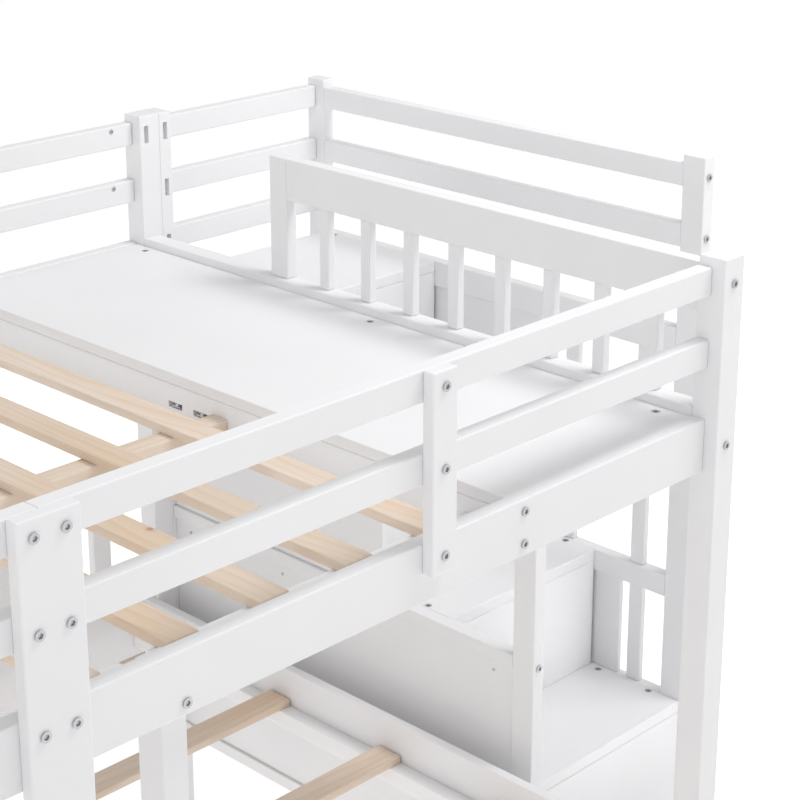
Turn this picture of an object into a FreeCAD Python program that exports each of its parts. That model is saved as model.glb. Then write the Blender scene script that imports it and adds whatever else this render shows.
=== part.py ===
import FreeCAD, Part
import os

# Triple bunk bed: one wide upper bed with a boarded platform and a stair at its right end,
# and two single beds below that lie across it.
# Millimetres, Z up, origin under the middle of the bounding box.

os.makedirs("parts", exist_ok=True)
doc = FreeCAD.newDocument("bunk_bed")
sheet = doc.addObject("Spreadsheet::Sheet", "dims")
rows = [0]


class Length:
    """A length that knows its sheet expression and its value."""

    def __init__(self, text, value):
        self.text = text
        self.value = float(value)

    def join(self, other, sign, value):
        return Length("(" + self.text + sign + other.text + ")", value)

    def __add__(self, other):
        return self.join(other, " + ", self.value + other.value)

    def __sub__(self, other):
        return self.join(other, " - ", self.value - other.value)

    def __mul__(self, count):
        return Length("(" + self.text + " * " + repr(count) + ")", self.value * count)

    def __truediv__(self, count):
        return Length("(" + self.text + " / " + repr(count) + ")", self.value / count)

    def __neg__(self):
        return Length("(0 - " + self.text + ")", -self.value)


def dim(name, value):
    rows[0] += 1
    cell = "B" + str(rows[0])
    sheet.set("A" + str(rows[0]), name)
    sheet.set(cell, str(value))
    sheet.setAlias(cell, name)
    return Length("dims." + name, value)


# stock
post_side = dim("post_side", 50)
rail_thick = dim("rail_thick", 26)
rail_tall = dim("rail_tall", 46)
side_rail_tall = dim("side_rail_tall", 89)
rail_setback = dim("rail_setback", 24)
board_thick = dim("board_thick", 20)
panel_thick = dim("panel_thick", 12)
stair_post_x = dim("stair_post_x", 30)
stair_post_y = dim("stair_post_y", 50)
ease = dim("ease", 2.5)
floor = dim("floor_level", 0)

# upper bed
rail_span = dim("rail_span", 2522)
bed_depth = dim("bed_depth", 1422)
stair_clear = dim("stair_clear", 459)
post_tall = dim("post_tall", 1640)
guard_drop = dim("guard_drop", 62)
guard_pitch = dim("guard_pitch", 118)
side_rail_drop = dim("side_rail_drop", 175)
leg_wide = dim("leg_wide", 88)
leg_thick = dim("leg_thick", 20)
leg_bolt_inset = dim("leg_bolt_inset", 22)
support_wide = dim("support_wide", 41)
support_deep = dim("support_deep", 48)
support_share = 0.41277
support_top_drop = dim("support_top_drop", 30)
support_bolt_rise = dim("support_bolt_rise", 17)
stile_wide = dim("stile_wide", 48)
stile_thick = dim("stile_thick", 20)
stile_share = 0.2466
upper_bolt_drop = dim("upper_bolt_drop", 18)

# platform at the right end and the panel beside it
platform_left = dim("platform_left", 446)
platform_beam_thick = dim("platform_beam_thick", 26)
platform_drop = dim("platform_drop", 2)
platform_screw_inset = dim("platform_screw_inset", 54)
cleat_wide = dim("cleat_wide", 44)
cleat_tall = dim("cleat_tall", 28)
sill_rise = dim("sill_rise", 14)
spindle_rail_tall = dim("spindle_rail_tall", 80)
spindle_wide = dim("spindle_wide", 24)
spindle_thick = dim("spindle_thick", 18)
spindle_stile_y = dim("spindle_stile_y", 980)
spindle_stile_wide = dim("spindle_stile_wide", 46)
spindle_count = 8
end_rail_tall = dim("end_rail_tall", 108)

# slats of the upper bed
slat_wide = dim("slat_wide", 52)
slat_thick = dim("slat_thick", 16)
slat_rise = dim("slat_rise", 57)
slat_first = dim("slat_first", 508)
slat_last_gap = dim("slat_last_gap", 92)
slat_end_gap = dim("slat_end_gap", 50)
slat_count = 13
ledger_tall = dim("ledger_tall", 30)
ledger_deep = dim("ledger_deep", 80)
center_beam_y = dim("center_beam_y", 630)
center_beam_wide = dim("center_beam_wide", 40)
center_beam_tall = dim("center_beam_tall", 60)

# stair
stair_front = dim("stair_front", 158)
stair_run = dim("stair_run", 226)
landing_drop = dim("landing_drop", 74)
stair_post_front_y = dim("stair_post_front_y", 382)
tread_thick = dim("tread_thick", 24)
tread_count = 4
riser_thick = dim("riser_thick", 12)
panel_lead = dim("panel_lead", 64)
panel_recess = dim("panel_recess", 6)
ledge_tall = dim("ledge_tall", 28)
landing_depth_gap = dim("landing_depth_gap", 1)
apron_tall = dim("apron_tall", 56)
baluster_wide = dim("baluster_wide", 33)
baluster_thick = dim("baluster_thick", 14)
baluster_first = dim("baluster_first", 59)
baluster_pitch = dim("baluster_pitch", 180)
screw_front = dim("screw_front", 70)
screw_back = dim("screw_back", 26)
screw_side = dim("screw_side", 9)

# lower beds
lower_rail_tall = dim("lower_rail_tall", 141)
lower_rail_low = dim("lower_rail_low", 435)
lower_slat_top = dim("lower_slat_top", 514)
lower_slat_wide = dim("lower_slat_wide", 60)
lower_slat_front = dim("lower_slat_front", 14)
lower_slat_back = dim("lower_slat_back", 100)
lower_slat_count = 7
lower_ledger = dim("lower_ledger", 30)
lower_inner = dim("lower_inner", 2040)
lower_slat_play = dim("lower_slat_play", 2)
foot_tall = dim("foot_tall", 600)
head_top = dim("head_top", 900)
head_rail_tall = dim("head_rail_tall", 60)
head_slat_wide = dim("head_slat_wide", 45)
head_slat_inset = dim("head_slat_inset", 98)
head_slat_last = dim("head_slat_last", 145)
head_slat_count = 4

# fasteners
bolt_head_wide = dim("bolt_head_wide", 14)
bolt_head_tall = dim("bolt_head_tall", 3)
bolt_shank_wide = dim("bolt_shank_wide", 6)
bolt_long = dim("bolt_long", 40)
bolt_through = dim("bolt_through", 90)
bolt_frame = dim("bolt_frame", 106)
bolt_play = dim("bolt_play", 0.8)
bolt_tip_room = dim("bolt_tip_room", 2)
bolt_socket_wide = dim("bolt_socket_wide", 8)
bolt_socket_deep = dim("bolt_socket_deep", 2.4)
bolt_head_round = dim("bolt_head_round", 2)
screw_head_wide = dim("screw_head_wide", 14)
screw_head_tall = dim("screw_head_tall", 3)
screw_sink = dim("screw_sink", 0.6)
screw_long = dim("screw_long", 36)
screw_wide = dim("screw_wide", 5)
nut_slot_long = dim("nut_slot_long", 36)
nut_slot_wide = dim("nut_slot_wide", 11)
nut_slot_deep = dim("nut_slot_deep", 12)
dowel_wide = dim("dowel_wide", 10)
dowel_long = dim("dowel_long", 16)
dowel_sink = dim("dowel_sink", 1)
dowel_inset = dim("dowel_inset", 53)
dowel_drop = dim("dowel_drop", 10)
dowel_slit_wide = dim("dowel_slit_wide", 1.8)
dowel_slit_deep = dim("dowel_slit_deep", 2)

doc.recompute()

# places that many pieces share
overall_x = post_side * 2 + rail_span + stair_clear + stair_post_x
x_corner = overall_x / 2 - stair_post_x - stair_clear - post_side
x_left = x_corner - rail_span
x_stair = x_corner + post_side
x_outer = x_stair + stair_clear
x_tread = x_stair + stair_post_x
x_middle = x_left + rail_span / 2

y_back_post = bed_depth - rail_setback
y_back_end = y_back_post + post_side
y_head = y_back_end - board_thick
y_foot = y_head - lower_inner
y_shift = (y_back_end + y_foot - post_side) / 2
y_rail = -y_shift
y_post = y_rail - rail_setback
y_back_rail = y_rail + bed_depth
y_back = y_rail + y_back_post
y_inner = y_rail + rail_thick

guard_top_low = post_tall - guard_drop
guard_mid_low = guard_top_low - guard_pitch
side_rail_low = guard_mid_low - side_rail_drop
bay_rail_low = guard_mid_low - guard_pitch
guard_top_mid = guard_top_low + rail_tall / 2
guard_mid_mid = guard_mid_low + rail_tall / 2
side_rail_top = side_rail_low + side_rail_tall
side_rail_mid = side_rail_low + side_rail_tall / 2
spindle_bottom = side_rail_top + sill_rise
slat_top = side_rail_low + slat_rise
slat_pitch = (rail_span - slat_first - slat_wide - slat_last_gap) / (slat_count - 1)
stair_rise = (side_rail_top - landing_drop) / (tread_count + 1)
support_gap = rail_span * support_share
lower_slat_ends = lower_slat_back + lower_slat_wide + lower_slat_front
lower_slat_pitch = (lower_inner - lower_slat_ends) / (lower_slat_count - 1)
head_slat_ends = head_slat_inset + head_slat_wide + head_slat_last
head_slat_pitch = (support_gap - head_slat_ends) / (head_slat_count - 1)

stock = {}
nodes = {}
holes = []


def set_place(item, x, y, z):
    item.setExpression("Placement.Base.x", x.text)
    item.setExpression("Placement.Base.y", y.text)
    item.setExpression("Placement.Base.z", z.text)


def board(node, x, y, z, eased=True):
    """A board from its low corner and size along each axis, kept under its node."""
    number = len(nodes.setdefault(node, []))
    name = node + "_" + str(number)
    blank = doc.addObject("Part::Box", name + "_blank")
    blank.setExpression("Length", x[1].text)
    blank.setExpression("Width", y[1].text)
    blank.setExpression("Height", z[1].text)
    set_place(blank, x[0], y[0], z[0])
    item = blank
    if eased:
        item = doc.addObject("Part::Fillet", name + "_eased")
        item.Base = blank
        item.Edges = [(edge, ease.value, ease.value) for edge in range(1, 13)]
    low = [side[0].value for side in (x, y, z)]
    high = [side[0].value + side[1].value for side in (x, y, z)]
    nodes[node].append(name)
    stock[name] = [item, low, high]


def span(low, high):
    return (low, high - low)


directions = {"+x": (1, 0, 0), "-x": (-1, 0, 0), "+y": (0, 1, 0), "-y": (0, -1, 0), "-z": (0, 0, -1)}
bolt_sites = []
screw_sites = []
dowel_sites = []


def turn_to(way):
    return FreeCAD.Rotation(FreeCAD.Vector(0, 0, 1), FreeCAD.Vector(*directions[way]))


def drill(x, y, z, way, wide, deep):
    """A straight hole from a face point into the wood."""
    tool = doc.addObject("Part::Cylinder", "hole_" + str(len(holes)))
    tool.Placement = FreeCAD.Placement(FreeCAD.Vector(), turn_to(way))
    tool.setExpression("Radius", (wide / 2).text)
    tool.setExpression("Height", deep.text)
    set_place(tool, x, y, z)
    start = [x.value, y.value, z.value]
    end = [place + step * deep.value for place, step in zip(start, directions[way])]
    low = [min(pair) for pair in zip(start, end)]
    high = [max(pair) for pair in zip(start, end)]
    holes.append([tool, low, high])


def bolt(x, y, z, way, long=bolt_long):
    bolt_sites.append((x, y, z, way, long))
    drill(x, y, z, way, bolt_shank_wide + bolt_play, long + bolt_tip_room)


def screw(x, y, z):
    screw_sites.append((x, y, z))
    drill(x, y, z, "-z", screw_wide + bolt_play, screw_long + screw_head_tall + bolt_tip_room)
    drill(x, y, z, "-z", screw_head_wide + bolt_play, screw_head_tall + screw_sink)


def slot(x, y, z, size):
    """A pocket for a half-moon nut, as a box from its low corner."""
    tool = doc.addObject("Part::Box", "hole_" + str(len(holes)))
    tool.setExpression("Length", size[0].text)
    tool.setExpression("Width", size[1].text)
    tool.setExpression("Height", size[2].text)
    set_place(tool, x, y, z)
    low = [x.value, y.value, z.value]
    holes.append([tool, low, [place + side.value for place, side in zip(low, size)]])


# corner posts
for end, x in (("right", x_corner), ("left", x_left - post_side)):
    board("post_front_" + end, (x, post_side), (y_post, post_side), (floor, post_tall))
    board("post_back_" + end, (x, post_side), (y_back, post_side), (floor, post_tall))

# rails in two lengths that meet over the middle leg
halves = {"right": span(x_middle, x_corner), "left": span(x_left, x_middle)}
for end, x in halves.items():
    for side, y in (("front", y_rail), ("back", y_back_rail)):
        board("side_rail_" + side + "_" + end, x, (y, rail_thick), (side_rail_low, side_rail_tall))
        board("guard_top_" + side + "_" + end, x, (y, rail_thick), (guard_top_low, rail_tall))
        board("guard_mid_" + side + "_" + end, x, (y, rail_thick), (guard_mid_low, rail_tall))

# cross dowels near the rails' ends take the bolts that come through the corner posts
dowel_heights = (
    guard_top_low + rail_tall - dowel_drop,
    guard_mid_low + rail_tall - dowel_drop,
    side_rail_top - dowel_drop * 2,
)
for z in dowel_heights:
    for y, way in ((y_inner, "-y"), (y_back_rail, "+y")):
        for x in (x_corner - dowel_inset, x_left + dowel_inset):
            dowel_sites.append((x, y, z, way))
            drill(x, y, z, way, dowel_wide + bolt_play, dowel_long + dowel_sink + bolt_tip_room)
    bolt(x_corner + post_side, y_rail + rail_thick / 2, z, "-x", bolt_frame)
    bolt(x_left - post_side, y_rail + rail_thick / 2, z, "+x", bolt_frame)
    bolt(x_left - post_side, y_back_rail + rail_thick / 2, z, "+x", bolt_frame)

# middle legs: both stand before their rails, the front one in line with the post's front face
leg_top = guard_top_low + rail_tall
y_back_face = y_back_rail + rail_thick
upper_bolt = side_rail_top - upper_bolt_drop
leg_x = (x_middle - leg_wide / 2, leg_wide)
board("middle_leg_front", leg_x, (y_rail - leg_thick, leg_thick), (floor, leg_top))
board("middle_leg_back", leg_x, (y_back_rail - leg_thick, leg_thick), (floor, leg_top))
for x in (leg_x[0] + leg_bolt_inset, leg_x[0] + leg_wide - leg_bolt_inset):
    for z in (guard_top_mid, guard_mid_mid, upper_bolt):
        bolt(x, y_rail - leg_thick, z, "+y")
        bolt(x, y_back_face, z, "-y")

# support posts beside the lower beds, inside the side rails
support_top = side_rail_top - support_top_drop
supports = {"right": x_corner - support_gap - support_wide, "left": x_left + support_gap}
for end, x in supports.items():
    for side, y in (("front", y_inner), ("back", y_back_rail - support_deep)):
        board("support_post_" + side + "_" + end, (x, support_wide), (y, support_deep), (floor, support_top))
    bolt(x + support_wide / 2, y_rail, side_rail_low + support_bolt_rise, "+y")
    bolt(x + support_wide / 2, y_back_face, side_rail_low + support_bolt_rise, "-y")

# short uprights before the front guard rails
for end, x in (("right", x_corner - rail_span * stile_share), ("left", x_left + rail_span * stile_share)):
    stile_x = (x - stile_wide / 2, stile_wide)
    stile_y = (y_rail - stile_thick, stile_thick)
    board("guard_stile_front_" + end, stile_x, stile_y, span(side_rail_mid, leg_top))
    for z in (guard_top_mid, guard_mid_mid, upper_bolt):
        bolt(x, y_rail - stile_thick, z, "+y")

# closed left end
end_inset = (post_side - rail_thick) / 2
x_end_left = x_left - post_side + end_inset
between_posts = span(y_post + post_side, y_back)
end_rail_low = side_rail_top - end_rail_tall
board("end_rail_left", (x_end_left, rail_thick), between_posts, (end_rail_low, end_rail_tall))
board("end_guards_left", (x_end_left, rail_thick), between_posts, (guard_mid_low, rail_tall))
board("end_guards_left", (x_end_left, rail_thick), between_posts, (guard_top_low, rail_tall))
for z in (guard_top_mid, guard_mid_mid, side_rail_mid):
    bolt(x_end_left + rail_thick / 2, y_post, z, "+y", bolt_through)
    bolt(x_end_left + rail_thick / 2, y_back + post_side, z, "-y", bolt_through)

# right end: a sill, an upright and spindles under a deep top rail
x_end = x_corner + end_inset
y_spindle_end = y_rail + spindle_stile_y
spindle_top = guard_top_low + rail_tall
sill_thick = end_inset + rail_thick
sill_low = spindle_bottom - end_rail_tall
stile_z = span(spindle_bottom, spindle_top)
board("end_rail_right", (x_corner, sill_thick), between_posts, (sill_low, end_rail_tall))
board("spindle_stile", (x_end, rail_thick), (y_spindle_end, spindle_stile_wide), stile_z)
spindle_run = span(y_post + post_side, y_spindle_end)
spindle_rail_low = spindle_top - spindle_rail_tall
board("spindle_top_rail", (x_end, rail_thick), spindle_run, (spindle_rail_low, spindle_rail_tall))
spindle_gap = (spindle_run[1] - spindle_wide * spindle_count) / (spindle_count + 1)
x_spindle = x_end + (rail_thick - spindle_thick) / 2
for number in range(spindle_count):
    y = spindle_run[0] + spindle_gap * (number + 1) + spindle_wide * number
    board("spindles", (x_spindle, spindle_thick), (y, spindle_wide), span(spindle_bottom, spindle_rail_low))
bolt(x_end + rail_thick / 2, y_post, spindle_top - spindle_rail_tall / 3, "+y", bolt_through)
bolt(x_end + rail_thick / 2, y_post, side_rail_mid, "+y", bolt_through)
bolt(x_end + rail_thick / 2, y_back + post_side, side_rail_mid, "-y", bolt_through)

# platform: a board between the rails on a left beam and a right cleat
platform_top = side_rail_top - platform_drop
platform_low = platform_top - board_thick
x_platform = x_corner - platform_left
across = span(y_inner, y_back_rail)
board("platform_board", span(x_platform, x_corner), across, (platform_low, board_thick))
board("platform_supports", (x_platform, platform_beam_thick), across, span(side_rail_low, platform_low))
x_cleat = x_corner - cleat_wide
board("platform_supports", (x_cleat, cleat_wide), across, (platform_low - cleat_tall, cleat_tall))
bolt_rise = side_rail_tall / 3.5
for z in (side_rail_mid + bolt_rise, side_rail_mid - bolt_rise):
    bolt(x_platform + platform_beam_thick / 2, y_rail, z, "+y")
    bolt(x_platform + platform_beam_thick / 2, y_back_rail + rail_thick, z, "-y")
x_screw = x_corner - cleat_wide / 2
for y in (y_inner + platform_screw_inset, y_inner + across[1] / 2, y_back_rail - platform_screw_inset):
    screw(x_screw, y, platform_top)

# slats of the upper bed on two deep ledgers and a middle beam
slat_low = slat_top - slat_thick
ledger_low = slat_low - ledger_tall
y_ledger_back = y_back_rail - ledger_deep
front_stops = [
    (x_left, supports["left"]),
    (supports["left"] + support_wide, supports["right"]),
    (supports["right"] + support_wide, x_platform),
]
back_stops = [
    (x_left, supports["left"]),
    (supports["left"] + support_wide, leg_x[0]),
    (leg_x[0] + leg_wide, supports["right"]),
    (supports["right"] + support_wide, x_platform),
]
for low, high in front_stops:
    board("slat_ledger_front", span(low, high), (y_inner, ledger_deep), (ledger_low, ledger_tall))
for low, high in back_stops:
    board("slat_ledger_back", span(low, high), (y_ledger_back, ledger_deep), (ledger_low, ledger_tall))
for number in range(slat_count):
    x = x_corner - slat_first - slat_wide - slat_pitch * number
    y = span(y_inner + slat_end_gap, y_back_rail - slat_end_gap)
    board("upper_slats", (x, slat_wide), y, (slat_low, slat_thick))
beam_y = (y_rail + center_beam_y, center_beam_wide)
beam_x = span(x_end_left + rail_thick, x_platform)
board("center_beam", beam_x, beam_y, (slat_low - center_beam_tall, center_beam_tall))
z_slot = slat_low - nut_slot_wide * 1.5
for share in (0.0, 1.8):
    y = y_rail + center_beam_y + center_beam_wide + nut_slot_wide + nut_slot_long * share
    slot(x_platform, y, z_slot, (nut_slot_deep, nut_slot_long, nut_slot_wide))

# stair posts
y_stair_post = y_rail + stair_post_front_y
y_stair_back = y_back + post_side - stair_post_y
for name, x, y, top in (
    ("stair_post_front_left", x_stair, y_stair_post, side_rail_low),
    ("stair_post_front_right", x_outer, y_stair_post, post_tall),
    ("stair_post_back_left", x_stair, y_stair_back, post_tall),
    ("stair_post_back_right", x_outer, y_stair_back, post_tall),
):
    board(name, (x, stair_post_x), (y, stair_post_y), (floor, top))

# treads and landing between the side frames, on side panels that reach down to the step below
inside = span(x_tread, x_outer)
y_post_back = y_stair_post + stair_post_y
landing_top = stair_rise * (tread_count + 1)
x_panel_left = x_tread
x_panel_right = x_outer - panel_thick
for number in range(tread_count + 1):
    top = stair_rise * (number + 1)
    y_front = y_rail + stair_front + stair_run * number
    low = top - tread_thick
    last = number == tread_count
    y_behind = y_front + riser_thick
    y_next = y_stair_back - landing_depth_gap if last else y_behind + stair_run
    node = "landing_board" if last else "stair_treads"
    board(node, inside, span(y_front, y_next), (low, tread_thick))
    step = stair_rise * number if number else floor
    side_low = step - tread_thick if number else floor
    board("stair_risers", inside, (y_front, riser_thick), span(step, low))
    y_panel_end = y_stair_back - landing_depth_gap if number > 1 else y_next
    y_side = span(y_behind, y_panel_end)
    board("stair_panels_left", (x_panel_left, panel_thick), y_side, span(side_low, low))
    board("stair_panels_right", (x_panel_right, panel_thick), y_side, span(side_low, low))
    for x in (x_tread + screw_side, x_outer - screw_side):
        screw(x, y_front + screw_front, top)
        screw(x, y_next - screw_back - riser_thick, top)

# left frame of the stair: ledges at the tread levels with recessed panels between them
left_run = span(y_post_back, y_stair_back)
levels = [stair_rise * number for number in (1, 2, 3, 5)]
for top in levels:
    board("stair_rails_left", (x_stair, stair_post_x), left_run, (top - ledge_tall, ledge_tall))
x_infill = x_stair + panel_recess
upper_run = span(y_rail + stair_front + stair_run * 3 - panel_lead, y_stair_back)
for low, high, y in (
    (levels[0], levels[1] - ledge_tall, left_run),
    (levels[1], levels[2] - ledge_tall, left_run),
    (levels[2], levels[3] - ledge_tall, upper_run),
):
    board("stair_panels_left", (x_infill, panel_thick), y, span(low, high))

# outer guard of the stair
y_guard = span(y_post_back, y_stair_back)
x_guard = (x_outer, rail_thick)
apron_low = landing_top - apron_tall
outer_low = stair_rise * 3 - rail_tall
base_low = stair_rise * 2 - rail_tall
for low, tall in (
    (guard_top_low, rail_tall),
    (guard_mid_low, rail_tall),
    (apron_low, apron_tall),
    (outer_low, rail_tall),
    (base_low, rail_tall),
):
    board("stair_guard_rails", x_guard, y_guard, (low, tall))
    bolt(x_outer + rail_thick / 2, y_stair_post, low + tall / 2, "+y", bolt_through)
bolt(x_stair + stair_post_x / 2, y_stair_post, levels[2] - ledge_tall / 2, "+y", bolt_through)
outer_top = outer_low + rail_tall
base_top = base_low + rail_tall
bolt(x_outer + stair_post_x, y_stair_post + stair_post_y / 2, levels[1] - tread_thick / 2, "-x")
x_baluster = (x_outer + panel_recess, baluster_thick)
for number in range(2):
    y = (y_post_back + baluster_first + baluster_pitch * number, baluster_wide)
    board("stair_balusters", x_baluster, y, span(outer_top, apron_low))
first_baluster = (y_post_back + baluster_first, baluster_wide)
board("stair_balusters", x_baluster, first_baluster, span(base_top, outer_low))
for count, low, high in ((2, base_top, outer_low), (3, outer_top, apron_low)):
    y = span(y_rail + stair_front + stair_run * count - panel_lead, y_stair_back)
    board("stair_panels_right", (x_outer + panel_recess, panel_thick), y, span(low, high))

# rails across the back of the landing
bay = span(x_tread, x_outer)
for low in (guard_top_low, guard_mid_low, bay_rail_low):
    board("landing_back_rails", bay, (y_back_rail, rail_thick), (low, rail_tall))
    bolt(x_outer + stair_post_x, y_back_rail + rail_thick / 2, low + rail_tall / 2, "-x", bolt_through)
    z = low + rail_tall / 2 - nut_slot_long / 2
    x = x_stair + stair_post_x / 2 - nut_slot_wide / 2
    slot(x, y_stair_back, z, (nut_slot_wide, nut_slot_deep, nut_slot_long))
x = x_corner + post_side / 3 - nut_slot_wide / 2
slot(x, y_back, guard_top_mid - nut_slot_long / 2, (nut_slot_wide, nut_slot_deep, nut_slot_long))

# lower beds across the upper bed
lower_slat_low = lower_slat_top - slat_thick
ledger_z = (lower_slat_low - lower_ledger, lower_ledger)
y_lower_foot = y_rail + y_foot
y_lower_back = y_rail + y_back_end
for end, x_low in (("right", x_corner - support_gap), ("left", x_left)):
    x_high = x_low + support_gap
    rails = "lower_rails_" + end
    rail_y = span(y_lower_foot, y_lower_back)
    rail_z = (lower_rail_low, lower_rail_tall)
    board(rails, (x_low, board_thick), rail_y, rail_z)
    board(rails, (x_high - board_thick, board_thick), rail_y, rail_z)
    ledger_y = span(y_lower_foot, y_rail + y_head)
    board(rails, (x_low + board_thick, lower_ledger), ledger_y, ledger_z)
    board(rails, (x_high - board_thick - lower_ledger, lower_ledger), ledger_y, ledger_z)
    inner = span(x_low + board_thick, x_high - board_thick)
    slat_x = span(inner[0] + lower_slat_play, x_high - board_thick - lower_slat_play)
    for number in range(lower_slat_count):
        y = y_rail + y_head - lower_slat_back - lower_slat_wide - lower_slat_pitch * number
        board("lower_slats_" + end, slat_x, (y, lower_slat_wide), (lower_slat_low, slat_thick))
    head = "lower_head_" + end
    head_y = (y_rail + y_head, board_thick)
    board(head, inner, head_y, rail_z)
    board(head, inner, head_y, (head_top - head_rail_tall, head_rail_tall))
    head_z = span(lower_rail_low + lower_rail_tall, head_top - head_rail_tall)
    for number in range(head_slat_count):
        x = x_high - head_slat_inset - head_slat_wide - head_slat_pitch * number
        board(head, (x, head_slat_wide), head_y, head_z)
    foot = "lower_foot_" + end
    leg_y = (y_lower_foot - post_side, post_side)
    board(foot, (x_low, post_side), leg_y, (floor, foot_tall))
    board(foot, (x_high - post_side, post_side), leg_y, (floor, foot_tall))
    panel_y = (y_lower_foot - (post_side + board_thick) / 2, board_thick)
    panel_z = span(lower_rail_low, foot_tall - ledge_tall)
    board(foot, span(x_low + post_side, x_high - post_side), panel_y, panel_z)
    for x in (x_low + board_thick / 2, x_high - board_thick / 2):
        bolt(x, y_lower_foot - post_side, lower_rail_low + lower_rail_tall / 2, "+y", bolt_through)

doc.recompute()

# every board takes the holes that reach into it
bored = {}
for name, (item, low, high) in stock.items():
    tools = []
    for tool, hole_low, hole_high in holes:
        if all(a < d and b > c for a, b, c, d in zip(low, high, hole_low, hole_high)):
            tools.append(tool)
    if tools:
        pack = doc.addObject("Part::Compound", name + "_holes")
        pack.Links = tools
        cut = doc.addObject("Part::Cut", name + "_bored")
        cut.Base = item
        cut.Tool = pack
        bored[name] = cut
    else:
        bored[name] = item

# one bolt of each length and one screw drawn once, then set at every site
def draw_bolt(name, long):
    head = doc.addObject("Part::Cylinder", name + "_head")
    head.setExpression("Radius", (bolt_head_wide / 2).text)
    head.setExpression("Height", bolt_head_tall.text)
    button = doc.addObject("Part::Fillet", name + "_button")
    button.Base = head
    button.Edges = [(3, bolt_head_round.value, bolt_head_round.value)]
    shank = doc.addObject("Part::Cylinder", name + "_shank")
    shank.setExpression("Radius", (bolt_shank_wide / 2).text)
    shank.setExpression("Height", (long + bolt_head_tall).text)
    socket = doc.addObject("Part::Prism", name + "_socket")
    socket.Polygon = 6
    socket.setExpression("Circumradius", (bolt_socket_wide / 2).text)
    socket.setExpression("Height", bolt_socket_deep.text)
    body = doc.addObject("Part::Fuse", name + "_body")
    body.Base = button
    body.Tool = shank
    whole = doc.addObject("Part::Cut", name)
    whole.Base = body
    whole.Tool = socket
    return whole


drawn = {bolt_long.text: draw_bolt("short_bolt", bolt_long)}
drawn[bolt_through.text] = draw_bolt("long_bolt", bolt_through)
drawn[bolt_frame.text] = draw_bolt("frame_bolt", bolt_frame)
screw_cap = doc.addObject("Part::Cylinder", "screw_cap")
screw_cap.setExpression("Radius", (screw_head_wide / 2).text)
screw_cap.setExpression("Height", screw_head_tall.text)
screw_stem = doc.addObject("Part::Cylinder", "screw_stem")
screw_stem.setExpression("Radius", (screw_wide / 2).text)
screw_stem.setExpression("Height", (screw_long + screw_head_tall).text)
screw_body = doc.addObject("Part::Fuse", "screw_body")
screw_body.Base = screw_cap
screw_body.Tool = screw_stem
screw_socket = doc.addObject("Part::Prism", "screw_socket")
screw_socket.Polygon = 6
screw_socket.setExpression("Circumradius", (bolt_socket_wide / 2).text)
screw_socket.setExpression("Height", bolt_socket_deep.text)
screw_one = doc.addObject("Part::Cut", "screw_one")
screw_one.Base = screw_body
screw_one.Tool = screw_socket
dowel_rod = doc.addObject("Part::Cylinder", "dowel_rod")
dowel_rod.setExpression("Radius", (dowel_wide / 2).text)
dowel_rod.setExpression("Height", dowel_long.text)
dowel_bore = doc.addObject("Part::Cylinder", "dowel_bore")
dowel_bore.Placement = FreeCAD.Placement(FreeCAD.Vector(), turn_to("+x"))
dowel_bore.setExpression("Radius", ((bolt_shank_wide + bolt_play) / 2).text)
dowel_bore.setExpression("Height", dowel_wide.text)
set_place(dowel_bore, -dowel_wide / 2, floor, rail_thick / 2 - dowel_sink)
dowel_slit = doc.addObject("Part::Box", "dowel_slit")
dowel_slit.setExpression("Length", dowel_wide.text)
dowel_slit.setExpression("Width", dowel_slit_wide.text)
dowel_slit.setExpression("Height", dowel_slit_deep.text)
set_place(dowel_slit, -dowel_wide / 2, -dowel_slit_wide / 2, floor)
dowel_cuts = doc.addObject("Part::Compound", "dowel_cuts")
dowel_cuts.Links = [dowel_bore, dowel_slit]
dowel_one = doc.addObject("Part::Cut", "dowel_one")
dowel_one.Base = dowel_rod
dowel_one.Tool = dowel_cuts
doc.recompute()

bolts = []
for x, y, z, way, long in bolt_sites:
    step = FreeCAD.Vector(*directions[way])
    start = FreeCAD.Vector(x.value, y.value, z.value) - step * bolt_head_tall.value
    copy = drawn[long.text].Shape.copy()
    copy.Placement = FreeCAD.Placement(start, turn_to(way))
    bolts.append(copy)
screws = []
for x, y, z in screw_sites:
    copy = screw_one.Shape.copy()
    start = FreeCAD.Vector(x.value, y.value, z.value - screw_sink.value)
    copy.Placement = FreeCAD.Placement(start, turn_to("-z"))
    screws.append(copy)
dowels = []
for x, y, z, way in dowel_sites:
    copy = dowel_one.Shape.copy()
    start = FreeCAD.Vector(x.value, y.value, z.value) + FreeCAD.Vector(*directions[way]) * dowel_sink.value
    copy.Placement = FreeCAD.Placement(start, turn_to(way))
    dowels.append(copy)

finished = {}
for node, names in nodes.items():
    if len(names) == 1:
        finished[node] = bored[names[0]]
    else:
        group = doc.addObject("Part::Compound", node)
        group.Links = [bored[name] for name in names]
        finished[node] = group
for node, shapes in (("frame_bolts", bolts), ("tread_screws", screws), ("cross_dowels", dowels)):
    group = doc.addObject("Part::Feature", node)
    group.Shape = Part.makeCompound(shapes)
    finished[node] = group
doc.recompute()

for item in doc.Objects:
    if "Invalid" in item.State or "Error" in item.State:
        raise RuntimeError("broken object " + item.Name)

for node, item in finished.items():
    item.Label = node
    shape = item.Shape
    if shape.isNull() or not shape.isValid():
        raise RuntimeError("broken shape " + node)
    shape.exportStep("parts/" + node + ".step")
print(len(finished), "pieces")
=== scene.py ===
import math

import bpy
from mathutils import Matrix, Vector


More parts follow.
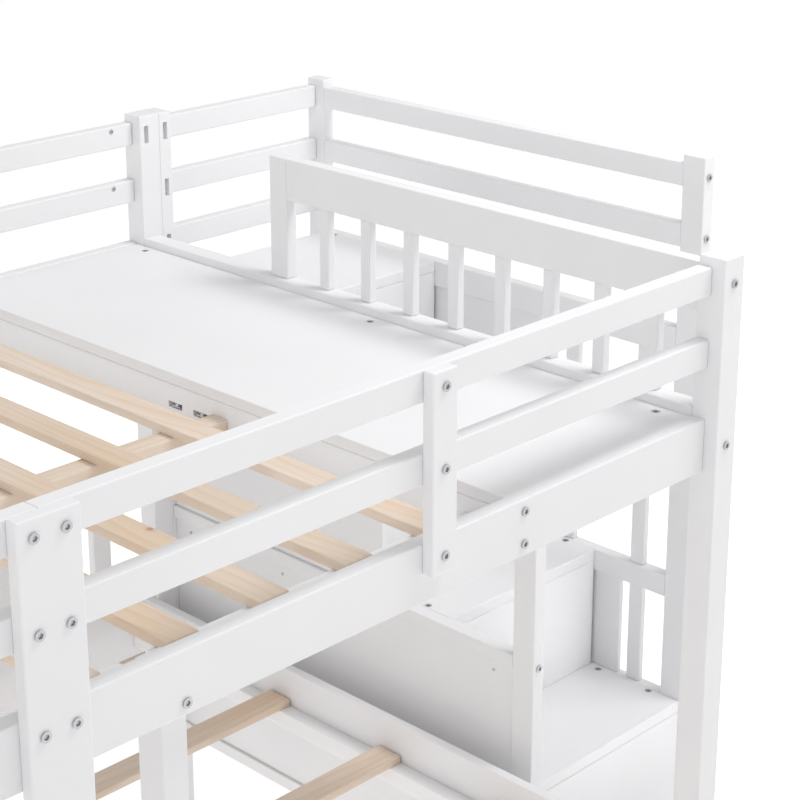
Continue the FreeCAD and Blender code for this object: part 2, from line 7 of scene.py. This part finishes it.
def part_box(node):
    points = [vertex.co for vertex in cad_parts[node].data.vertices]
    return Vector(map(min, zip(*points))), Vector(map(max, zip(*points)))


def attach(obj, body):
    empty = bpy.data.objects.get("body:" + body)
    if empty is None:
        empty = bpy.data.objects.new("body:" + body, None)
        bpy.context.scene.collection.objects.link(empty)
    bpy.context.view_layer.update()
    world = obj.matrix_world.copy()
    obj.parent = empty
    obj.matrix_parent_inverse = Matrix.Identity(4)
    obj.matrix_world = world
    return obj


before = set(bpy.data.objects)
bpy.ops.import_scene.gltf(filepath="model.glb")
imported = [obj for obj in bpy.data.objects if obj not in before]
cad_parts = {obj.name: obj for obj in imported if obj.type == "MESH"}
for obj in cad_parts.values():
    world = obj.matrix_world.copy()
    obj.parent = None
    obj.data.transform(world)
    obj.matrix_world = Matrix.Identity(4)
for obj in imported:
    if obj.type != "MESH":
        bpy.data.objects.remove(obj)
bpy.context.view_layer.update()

bl_info = {
    "name": "Triple bunk bed",
    "version": (1, 0, 0),
    "blender": (4, 5, 0),
    "location": "View3D > Sidebar > Bunk bed",
    "description": "Finishes a white triple bunk bed with its pine slats, fittings and studio",
    "category": "Object",
}

PINE_ALONG_Y = ("upper_slats",)
PINE_ALONG_X = ("center_beam", "lower_slats_right", "lower_slats_left")
STEEL = ("frame_bolts", "tread_screws", "cross_dowels")

# the nut pockets and stair panels of the frame, in metres
POCKET_FLOOR = 0.0118
POCKET_WIDE = 0.011
POCKET_LONG = 0.036
PANEL_RECESS = 0.006
PANEL_THICK = 0.012
LEDGE_TALL = 0.028
RAIL_TALL = 0.046
PIN_END = 0.05

# where the two nut pockets start along the beam, in pocket lengths
POCKET_STARTS = (0.0, 1.8)

# the treads under the landing, those whose panels carry pins, and the pins in a row
TREADS = 4
LEFT_PINNED = (2, 3)
RIGHT_PINNED = 3
PINS = 4

# how the small fittings are shaped, as shares of their sizes
WASHER_EDGE = 0.2
NUT_BACK = 0.45
PIN_RIM = 0.45
PIN_DISH = 0.6
PIN_TAPER = 0.8
PIN_EDGE = 0.25

# how finely the small fittings are rounded
WASHER_SIDES = 40
HEXAGON_SIDES = 6
PIN_SIDES = 24
EDGE_STEPS = 2
SMOOTH_ANGLE = math.radians(40.0)

QUARTER_TURN = math.radians(90.0)
ALONG_X = (0.0, QUARTER_TURN, 0.0)

# a face looks along an axis when that part of its normal is larger than this
FACING = 0.9

# how far a pattern is squeezed along its board, 1 for not at all
EVEN = (1.0, 1.0, 1.0)
PAINT_SQUEEZE = 0.06
PINE_SQUEEZE = 0.05
PATCH_SQUEEZE = 0.22

# a knot's colour, as shares of the dark pine's red, green and blue
KNOT_SHARES = (0.72, 0.56, 0.48)

# the studio's floor
FLOOR_SIZE = 40.0
FLOOR_DROP = 0.001
FLOOR_TONE = 0.94
FLOOR_ROUGH = 0.9
FLOOR_GLOW = 0.49

# brightness of the studio's walls and ceiling, from the horizon up to straight overhead
SKY = ((0.0, 1.0), (0.22, 0.66), (1.0, 0.42))

# each lamp's name, place, aim, size in metres, power in watts and beam in degrees
WIDE_BEAM = 180.0
LAMPS = (
    ("front_light", (1.8, -4.5, 5.0), (0.5, 0.0, 1.0), 4.0, 3.0, WIDE_BEAM),
    ("stair_light", (1.9, -0.9, 4.2), (1.3, 0.1, 0.5), 1.2, 60.0, WIDE_BEAM),
    ("riser_light", (1.5, -2.6, 0.9), (1.35, 0.2, 0.66), 0.35, 0.085, 8.0),
    ("top_light", (-1.2, -0.7, 5.5), (0.3, 0.2, 1.0), 5.0, 36.0, WIDE_BEAM),
    ("left_light", (-5.5, 0.2, 3.2), (0.3, 0.0, 1.2), 4.0, 46.0, WIDE_BEAM),
)
SENSOR_WIDE = 36.0


class BunkFinishes(bpy.types.PropertyGroup):
    paint: bpy.props.FloatVectorProperty(
        name="Paint", description="Satin white paint on posts, rails and panels",
        subtype="COLOR", size=3, min=0, max=1, default=(0.815, 0.815, 0.827))
    pine_pale: bpy.props.FloatVectorProperty(
        name="Pale pine", description="Early wood of the slats",
        subtype="COLOR", size=3, min=0, max=1, default=(0.81, 0.712, 0.63))
    pine_dark: bpy.props.FloatVectorProperty(
        name="Dark pine", description="Late wood and knots of the slats",
        subtype="COLOR", size=3, min=0, max=1, default=(0.58, 0.43, 0.31))
    steel: bpy.props.FloatVectorProperty(
        name="Zinc", description="Zinc plate on bolts, nuts and screws",
        subtype="COLOR", size=3, min=0, max=1, default=(0.56, 0.56, 0.58))


class BunkFittings(bpy.types.PropertyGroup):
    washer_radius: bpy.props.FloatProperty(
        name="Washer radius", description="Radius of the half-moon washers in the nut pockets",
        subtype="DISTANCE", unit="LENGTH", min=0.004, default=0.0105)
    washer_thick: bpy.props.FloatProperty(
        name="Washer thickness", description="Thickness of the half-moon washers",
        subtype="DISTANCE", unit="LENGTH", min=0.0005, default=0.002)
    nut_radius: bpy.props.FloatProperty(
        name="Nut radius", description="Radius of the hexagon nuts over their corners",
        subtype="DISTANCE", unit="LENGTH", min=0.002, default=0.0055)
    nut_thick: bpy.props.FloatProperty(
        name="Nut thickness", description="Height of the hexagon nuts",
        subtype="DISTANCE", unit="LENGTH", min=0.001, default=0.005)
    stud_radius: bpy.props.FloatProperty(
        name="Stud radius", description="Radius of the threaded stud that shows in a nut",
        subtype="DISTANCE", unit="LENGTH", min=0.001, default=0.003)
    pin_radius: bpy.props.FloatProperty(
        name="Pin radius", description="Radius of the pins along the stair panels' top edges",
        subtype="DISTANCE", unit="LENGTH", min=0.001, default=0.0032)
    pin_tall: bpy.props.FloatProperty(
        name="Pin height", description="How far a pin stands out of its panel",
        subtype="DISTANCE", unit="LENGTH", min=0.0002, default=0.0012)
    pin_drop: bpy.props.FloatProperty(
        name="Pin drop", description="Distance of the pins below the ledge over their panel",
        subtype="DISTANCE", unit="LENGTH", min=0.005, default=0.022)


class BunkStage(bpy.types.PropertyGroup):
    lens: bpy.props.FloatProperty(
        name="Lens", description="Focal length of the camera on a 36 mm sensor",
        min=10, default=89.35)
    camera_place: bpy.props.FloatVectorProperty(
        name="Camera place", description="Where the camera stands",
        subtype="TRANSLATION", unit="LENGTH", size=3, default=(-1.4077, -2.0814, 2.5165))
    yaw: bpy.props.FloatProperty(
        name="Yaw", description="View direction, from straight back towards the stair",
        subtype="ANGLE", default=math.radians(45.79))
    pitch: bpy.props.FloatProperty(
        name="Pitch", description="How far the camera looks down",
        subtype="ANGLE", default=math.radians(17.62))
    rise: bpy.props.FloatProperty(
        name="Rise", description="Vertical shift of the lens", default=-0.14)


def clear_selection():
    for item in bpy.context.selected_objects:
        item.select_set(False)


def grey(tone):
    return (tone, tone, tone)


def squeezed(axis, amount):
    """A scale that squeezes a pattern along one axis only."""
    return tuple(amount if part == axis else 1.0 for part in range(3))


def new_material(name):
    made = bpy.data.materials.new(name)
    made.use_nodes = True
    return made, made.node_tree.nodes, made.node_tree.links, made.node_tree.nodes["Principled BSDF"]


def grain_place(nodes, links, stretch):
    """Object coordinates squeezed along the board, so a pattern runs with the wood."""
    place = nodes.new("ShaderNodeTexCoord")
    mapping = nodes.new("ShaderNodeMapping")
    mapping.inputs["Scale"].default_value = stretch
    links.new(place.outputs["Object"], mapping.inputs["Vector"])
    return mapping.outputs["Vector"]


def noise(nodes, links, vector, scale, detail, rough=0.5):
    made = nodes.new("ShaderNodeTexNoise")
    made.inputs["Scale"].default_value = scale
    made.inputs["Detail"].default_value = detail
    made.inputs["Roughness"].default_value = rough
    links.new(vector, made.inputs["Vector"])
    return made.outputs["Fac"]


def ramp(nodes, links, factor, stops):
    """Turn a factor into colours, each stop being a position and its colour."""
    made = nodes.new("ShaderNodeValToRGB")
    bar = made.color_ramp
    while len(bar.elements) < len(stops):
        bar.elements.new(0.5)
    for element, (at, colour) in zip(bar.elements, stops):
        element.position = at
        element.color = (*colour, 1.0)
    links.new(factor, made.inputs["Fac"])
    return made.outputs["Color"]


def span_value(nodes, links, factor, low, high):
    made = nodes.new("ShaderNodeMapRange")
    made.inputs["To Min"].default_value = low
    made.inputs["To Max"].default_value = high
    links.new(factor, made.inputs["Value"])
    return made.outputs["Result"]


def bump(nodes, links, height, distance, strength, under=None):
    made = nodes.new("ShaderNodeBump")
    made.inputs["Distance"].default_value = distance
    made.inputs["Strength"].default_value = strength
    links.new(height, made.inputs["Height"])
    if under is not None:
        links.new(under, made.inputs["Normal"])
    return made.outputs["Normal"]


def multiplied(nodes, links, first, second, factor=1.0):
    made = nodes.new("ShaderNodeMix")
    made.data_type = "RGBA"
    made.blend_type = "MULTIPLY"
    made.inputs["Factor"].default_value = factor
    links.new(first, made.inputs["A"])
    links.new(second, made.inputs["B"])
    return made.outputs["Result"]


def white_paint(name, stretch):
    """Satin paint, with the wood's grain just showing through it."""
    finish = bpy.context.scene.bunk_finishes
    made, nodes, links, surface = new_material(name)
    along = grain_place(nodes, links, stretch)
    even = grain_place(nodes, links, EVEN)
    grain = noise(nodes, links, along, scale=22.0, detail=6.0, rough=0.6)
    cloud = noise(nodes, links, even, scale=2.3, detail=3.0)
    peel = noise(nodes, links, even, scale=900.0, detail=2.0)
    paint = Vector(finish.paint)
    tone = ramp(nodes, links, cloud, [(0.3, paint * 0.975), (0.7, paint * 1.02)])
    links.new(tone, surface.inputs["Base Color"])
    links.new(span_value(nodes, links, grain, low=0.36, high=0.5), surface.inputs["Roughness"])
    surface.inputs["Specular IOR Level"].default_value = 0.4
    fine = bump(nodes, links, peel, distance=0.0002, strength=0.12)
    coarse = bump(nodes, links, grain, distance=0.0006, strength=0.10, under=fine)
    links.new(coarse, surface.inputs["Normal"])
    return made


def wandering(nodes, links, vector, stretch, amount):
    """Bend a pattern's coordinates by a slow noise, as growth rings wander along a board."""
    slow = nodes.new("ShaderNodeTexNoise")
    slow.inputs["Scale"].default_value = 6.0
    slow.inputs["Detail"].default_value = 1.5
    links.new(grain_place(nodes, links, stretch), slow.inputs["Vector"])
    centred = nodes.new("ShaderNodeVectorMath")
    centred.operation = "SUBTRACT"
    centred.inputs[1].default_value = grey(0.5)
    links.new(slow.outputs["Color"], centred.inputs[0])
    moved = nodes.new("ShaderNodeVectorMath")
    moved.operation = "MULTIPLY_ADD"
    moved.inputs[1].default_value = grey(amount)
    links.new(centred.outputs["Vector"], moved.inputs[0])
    links.new(vector, moved.inputs[2])
    return moved.outputs["Vector"]


def growth_rings(nodes, links, vector, across):
    """Bands of pale early wood and darker late wood."""
    finish = bpy.context.scene.bunk_finishes
    lines = nodes.new("ShaderNodeTexWave")
    lines.bands_direction = across
    lines.wave_profile = "SAW"
    lines.inputs["Scale"].default_value = 19.0
    lines.inputs["Distortion"].default_value = 3.0
    lines.inputs["Detail"].default_value = 3.0
    lines.inputs["Detail Scale"].default_value = 0.7
    links.new(vector, lines.inputs["Vector"])
    pale = Vector(finish.pine_pale)
    dark = Vector(finish.pine_dark)
    return ramp(nodes, links, lines.outputs["Fac"], [
        (0.05, pale),
        (0.6, pale.lerp(dark, 0.08)),
        (0.9, pale.lerp(dark, 0.24)),
        (1.0, pale.lerp(dark, 0.1)),
    ])


def knotted(nodes, links, wood):
    """Set a few small dark knots in the wood."""
    finish = bpy.context.scene.bunk_finishes
    knots = nodes.new("ShaderNodeTexVoronoi")
    knots.inputs["Scale"].default_value = 5.0
    links.new(grain_place(nodes, links, EVEN), knots.inputs["Vector"])
    spot = ramp(nodes, links, knots.outputs["Distance"], [
        (0.018, grey(0.9)),
        (0.026, grey(0.55)),
        (0.036, grey(0.2)),
        (0.06, grey(0.0)),
    ])
    knot = [part * share for part, share in zip(finish.pine_dark, KNOT_SHARES)]
    made = nodes.new("ShaderNodeMix")
    made.data_type = "RGBA"
    links.new(spot, made.inputs["Factor"])
    links.new(wood, made.inputs["A"])
    made.inputs["B"].default_value = (*knot, 1.0)
    return made.outputs["Result"]


def pine(name, axis, across):
    """Bare pine: growth rings, fibres, a tone for each slat, warm patches and a few knots."""
    made, nodes, links, surface = new_material(name)
    along = grain_place(nodes, links, squeezed(axis, PINE_SQUEEZE))
    patches = squeezed(axis, PATCH_SQUEEZE)
    rings = growth_rings(nodes, links, wandering(nodes, links, along, patches, amount=0.12), across)
    fibre = noise(nodes, links, along, scale=60.0, detail=8.0, rough=0.65)
    hairs = ramp(nodes, links, fibre, [(0.35, (0.86, 0.84, 0.8)), (0.65, grey(1.0))])
    wood = multiplied(nodes, links, rings, hairs, factor=0.5)
    slat = noise(nodes, links, along, scale=5.5, detail=0.0)
    tint = ramp(nodes, links, slat, [(0.38, (0.90, 0.86, 0.80)), (0.62, grey(1.0))])
    toned = multiplied(nodes, links, wood, tint)
    blush = noise(nodes, links, grain_place(nodes, links, patches), scale=9.0, detail=2.0)
    warm = ramp(nodes, links, blush, [(0.5, grey(1.0)), (0.72, (0.98, 0.91, 0.83))])
    patchy = multiplied(nodes, links, toned, warm)
    links.new(knotted(nodes, links, patchy), surface.inputs["Base Color"])
    links.new(span_value(nodes, links, fibre, low=0.5, high=0.7), surface.inputs["Roughness"])
    surface.inputs["Specular IOR Level"].default_value = 0.3
    links.new(bump(nodes, links, fibre, distance=0.0008, strength=0.25), surface.inputs["Normal"])
    return made


def zinc(name):
    """Zinc-plated steel with a fine turned texture."""
    finish = bpy.context.scene.bunk_finishes
    made, nodes, links, surface = new_material(name)
    brushed = noise(nodes, links, grain_place(nodes, links, EVEN), scale=700.0, detail=3.0)
    steel = Vector(finish.steel)
    tone = ramp(nodes, links, brushed, [(0.3, steel * 0.8), (0.7, steel * 1.1)])
    links.new(tone, surface.inputs["Base Color"])
    surface.inputs["Metallic"].default_value = 1.0
    links.new(span_value(nodes, links, brushed, low=0.28, high=0.45), surface.inputs["Roughness"])
    links.new(bump(nodes, links, brushed, distance=0.0002, strength=0.3), surface.inputs["Normal"])
    return made


def longest_axis(node):
    low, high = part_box(node)
    size = high - low
    return max(range(3), key=lambda axis: size[axis])


def dress(piece, finish):
    piece.data.materials.clear()
    piece.data.materials.append(finish)


def edit_faces(piece, chosen):
    """Enter edit mode with only the chosen faces selected."""
    bpy.context.view_layer.objects.active = piece
    bpy.ops.object.mode_set(mode="EDIT")
    bpy.ops.mesh.select_mode(type="FACE")
    bpy.ops.mesh.select_all(action="DESELECT")
    bpy.ops.object.mode_set(mode="OBJECT")
    for face in piece.data.polygons:
        face.select = chosen(face)
    bpy.ops.object.mode_set(mode="EDIT")


def push_out(way):
    """Extrude the selected faces by a distance along each axis."""
    bpy.ops.mesh.extrude_region_move(TRANSFORM_OT_translate={"value": way})


def round_edges(piece, width):
    """Take the sharpness off a small piece's edges."""
    bpy.ops.object.mode_set(mode="OBJECT")
    soften = piece.modifiers.new("soften", "BEVEL")
    soften.width = width
    soften.segments = EDGE_STEPS
    soften.limit_method = "ANGLE"
    bpy.ops.object.modifier_apply(modifier=soften.name)
    bpy.ops.object.shade_smooth_by_angle(angle=SMOOTH_ANGLE)


def set_out(pattern, name, places, finish):
    """Copy a modelled piece to each place, join the copies and leave the place in the mesh."""
    copies = []
    for place in places:
        copy = pattern.copy()
        copy.data = pattern.data.copy()
        copy.matrix_world = place
        bpy.context.scene.collection.objects.link(copy)
        copies.append(copy)
    bpy.data.objects.remove(pattern)
    clear_selection()
    for copy in copies:
        copy.select_set(True)
    bpy.context.view_layer.objects.active = copies[0]
    bpy.ops.object.join()
    bpy.ops.object.transform_apply(location=True, rotation=True, scale=True)
    group = bpy.context.object
    group.name = name
    dress(group, finish)
    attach(group, "root")


def half_moon_washer(sizes):
    clear_selection()
    bpy.ops.mesh.primitive_cylinder_add(
        vertices=WASHER_SIDES, radius=sizes.washer_radius, depth=sizes.washer_thick, rotation=ALONG_X)
    washer = bpy.context.object
    bpy.ops.object.transform_apply(location=False, rotation=True, scale=False)
    bpy.ops.object.mode_set(mode="EDIT")
    bpy.ops.mesh.select_all(action="SELECT")
    bpy.ops.mesh.bisect(
        plane_co=(0.0, 0.0, 0.0), plane_no=(0.0, 1.0, 0.0), use_fill=True, clear_inner=True)
    round_edges(washer, sizes.washer_thick * WASHER_EDGE)
    return washer


def nut_on_stud(sizes, seat):
    """A hexagon nut whose middle is a seat's distance along X, with the end of its stud."""
    clear_selection()
    bpy.ops.mesh.primitive_cylinder_add(
        vertices=HEXAGON_SIDES, radius=sizes.nut_radius, depth=sizes.nut_thick,
        rotation=ALONG_X, location=(seat, sizes.washer_radius * NUT_BACK, 0.0))
    nut = bpy.context.object
    bpy.ops.object.transform_apply(location=True, rotation=True, scale=False)
    edit_faces(nut, lambda face: face.normal.x > FACING)
    bpy.ops.mesh.inset(thickness=sizes.nut_radius - sizes.stud_radius, depth=0.0)
    push_out((sizes.washer_thick / 2, 0.0, 0.0))
    round_edges(nut, sizes.washer_thick * WASHER_EDGE)


def dished_pin(sizes):
    clear_selection()
    bpy.ops.mesh.primitive_cylinder_add(
        vertices=PIN_SIDES, radius=sizes.pin_radius, depth=sizes.pin_tall)
    pin = bpy.context.object
    edit_faces(pin, lambda face: face.normal.z > FACING)
    bpy.ops.mesh.inset(thickness=sizes.pin_radius * PIN_RIM, depth=0.0)
    push_out((0.0, 0.0, -sizes.pin_tall * PIN_DISH))
    bpy.ops.transform.resize(value=(PIN_TAPER, PIN_TAPER, 1.0))
    round_edges(pin, sizes.pin_tall * PIN_EDGE)
    return pin


class BUNK_OT_frame_finishes(bpy.types.Operator):
    """Paint the frame, leave the slats bare and plate the fasteners"""
    bl_idname = "bunk.frame_finishes"
    bl_label = "Frame finishes"

    def execute(self, context):
        paints = [
            white_paint("white_paint_" + letter, squeezed(axis, PAINT_SQUEEZE))
            for axis, letter in enumerate("xyz")]
        slats_y = pine("pine_across", axis=1, across="X")
        slats_x = pine("pine_along", axis=0, across="Y")
        steel = zinc("zinc_plate")
        for node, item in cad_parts.items():
            if node in PINE_ALONG_Y:
                dress(item, slats_y)
            elif node in PINE_ALONG_X:
                dress(item, slats_x)
            elif node in STEEL:
                dress(item, steel)
            else:
                dress(item, paints[longest_axis(node)])
        return {"FINISHED"}


class BUNK_OT_pocket_nuts(bpy.types.Operator):
    """Set a half-moon washer and a hexagon nut in each nut pocket of the platform beam"""
    bl_idname = "bunk.pocket_nuts"
    bl_label = "Pocket nuts"

    def execute(self, context):
        sizes = context.scene.bunk_fittings
        seat = (sizes.washer_thick + sizes.nut_thick) / 2
        washer = half_moon_washer(sizes)
        nut_on_stud(sizes, seat)
        washer.select_set(True)
        bpy.ops.object.join()
        pattern = context.object

        # the pattern's X, its stack, points up, and its round edge points into the beam
        turned = Matrix(((0.0, 1.0, 0.0), (0.0, 0.0, 1.0), (1.0, 0.0, 0.0))).to_4x4()
        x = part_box("platform_supports")[0].x + POCKET_FLOOR - sizes.washer_radius
        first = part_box("center_beam")[1].y + POCKET_WIDE
        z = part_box("upper_slats")[0].z - POCKET_WIDE - seat / 2
        places = []
        for start in POCKET_STARTS:
            y = first + POCKET_LONG * (start + 0.5)
            places.append(Matrix.Translation((x, y, z)) @ turned)
        set_out(pattern, "pocket_nuts", places, bpy.data.materials["zinc_plate"])
        return {"FINISHED"}


class BUNK_OT_panel_pins(bpy.types.Operator):
    """Pin the stair's recessed panels along their top edges"""
    bl_idname = "bunk.panel_pins"
    bl_label = "Panel pins"

    def execute(self, context):
        sizes = context.scene.bunk_fittings
        pin = dished_pin(sizes)
        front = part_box("stair_post_front_left")[1].y
        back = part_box("stair_post_back_left")[0].y
        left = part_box("stair_rails_left")[0].x
        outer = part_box("stair_post_front_right")[0].x
        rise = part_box("stair_treads")[1].z / TREADS
        gap = (back - front - 2 * PIN_END) / (PINS - 1)
        stand = sizes.pin_tall / 2
        facing_left = Matrix.Rotation(-QUARTER_TURN, 4, "Y")
        facing_right = Matrix.Rotation(QUARTER_TURN, 4, "Y")
        row = [front + PIN_END + gap * number for number in range(PINS)]

        places = []
        x = left + PANEL_RECESS - stand
        for y in row:
            for level in LEFT_PINNED:
                z = rise * level - LEDGE_TALL - sizes.pin_drop
                places.append(Matrix.Translation((x, y, z)) @ facing_left)
        x = outer + PANEL_RECESS + PANEL_THICK + stand
        z = rise * RIGHT_PINNED - RAIL_TALL - sizes.pin_drop
        for y in row[1:]:
            places.append(Matrix.Translation((x, y, z)) @ facing_right)
        set_out(pin, "panel_pins", places, bpy.data.materials["zinc_plate"])
        return {"FINISHED"}


def lay_floor():
    clear_selection()
    bpy.ops.mesh.primitive_plane_add(size=FLOOR_SIZE, location=(0.0, 0.0, -FLOOR_DROP))
    floor = bpy.context.object
    floor.name = "studio_floor"
    made, *_, surface = new_material("pale_floor")
    surface.inputs["Base Color"].default_value = (*grey(FLOOR_TONE), 1.0)
    surface.inputs["Roughness"].default_value = FLOOR_ROUGH
    surface.inputs["Emission Color"].default_value = (*grey(1.0), 1.0)
    surface.inputs["Emission Strength"].default_value = FLOOR_GLOW
    dress(floor, made)


def light_walls(scene):
    """Give the studio's walls and ceiling the brightness that SKY says."""
    world = bpy.data.worlds.new("studio")
    scene.world = world
    world.use_nodes = True
    nodes = world.node_tree.nodes
    links = world.node_tree.links
    ways = nodes.new("ShaderNodeTexCoord")
    height = nodes.new("ShaderNodeSeparateXYZ")
    links.new(ways.outputs["Generated"], height.inputs["Vector"])
    glow = ramp(nodes, links, height.outputs["Z"], [(at, grey(tone)) for at, tone in SKY])
    links.new(glow, nodes["Background"].inputs["Color"])
    nodes["Background"].inputs["Strength"].default_value = 1.0


def hang_lamps(scene):
    for name, place, aim, size, power, beam in LAMPS:
        lamp = bpy.data.lights.new(name, "AREA")
        lamp.size = size
        lamp.energy = power
        lamp.spread = math.radians(beam)
        item = bpy.data.objects.new(name, lamp)
        scene.collection.objects.link(item)
        item.location = place
        item.rotation_euler = (Vector(aim) - Vector(place)).to_track_quat("-Z", "Y").to_euler()


def set_camera(scene):
    stage = scene.bunk_stage
    lens = bpy.data.cameras.new("photo_camera")
    camera = bpy.data.objects.new("photo_camera", lens)
    scene.collection.objects.link(camera)
    scene.camera = camera
    lens.sensor_width = SENSOR_WIDE
    lens.lens = stage.lens
    lens.shift_y = stage.rise
    camera.location = stage.camera_place
    ahead = Vector((
        math.sin(stage.yaw) * math.cos(stage.pitch),
        math.cos(stage.yaw) * math.cos(stage.pitch),
        -math.sin(stage.pitch)))
    camera.rotation_euler = ahead.to_track_quat("-Z", "Y").to_euler()
    scene.view_settings.view_transform = "Standard"


class BUNK_OT_stage(bpy.types.Operator):
    """Set the pale floor, the studio light and the camera"""
    bl_idname = "bunk.stage"
    bl_label = "Studio"

    def execute(self, context):
        lay_floor()
        light_walls(context.scene)
        hang_lamps(context.scene)
        set_camera(context.scene)
        return {"FINISHED"}


class BUNK_PT_panel(bpy.types.Panel):
    """Lists the steps that finish the bunk bed"""
    bl_idname = "BUNK_PT_panel"
    bl_label = "Bunk bed"
    bl_space_type = "VIEW_3D"
    bl_region_type = "UI"
    bl_category = "Bunk bed"

    def draw(self, context):
        for step in STEPS:
            self.layout.operator(step.bl_idname)


STEPS = (BUNK_OT_frame_finishes, BUNK_OT_pocket_nuts, BUNK_OT_panel_pins, BUNK_OT_stage)
GROUPS = (BunkFinishes, BunkFittings, BunkStage)


def register():
    for kind in (*GROUPS, *STEPS, BUNK_PT_panel):
        bpy.utils.register_class(kind)
    bpy.types.Scene.bunk_finishes = bpy.props.PointerProperty(type=BunkFinishes)
    bpy.types.Scene.bunk_fittings = bpy.props.PointerProperty(type=BunkFittings)
    bpy.types.Scene.bunk_stage = bpy.props.PointerProperty(type=BunkStage)


def unregister():
    del bpy.types.Scene.bunk_stage
    del bpy.types.Scene.bunk_fittings
    del bpy.types.Scene.bunk_finishes
    for kind in reversed((*GROUPS, *STEPS, BUNK_PT_panel)):
        bpy.utils.unregister_class(kind)


def main():
    register()
    bpy.ops.bunk.frame_finishes()
    bpy.ops.bunk.pocket_nuts()
    bpy.ops.bunk.panel_pins()
    bpy.ops.bunk.stage()


if __name__ == "__main__":
    main()
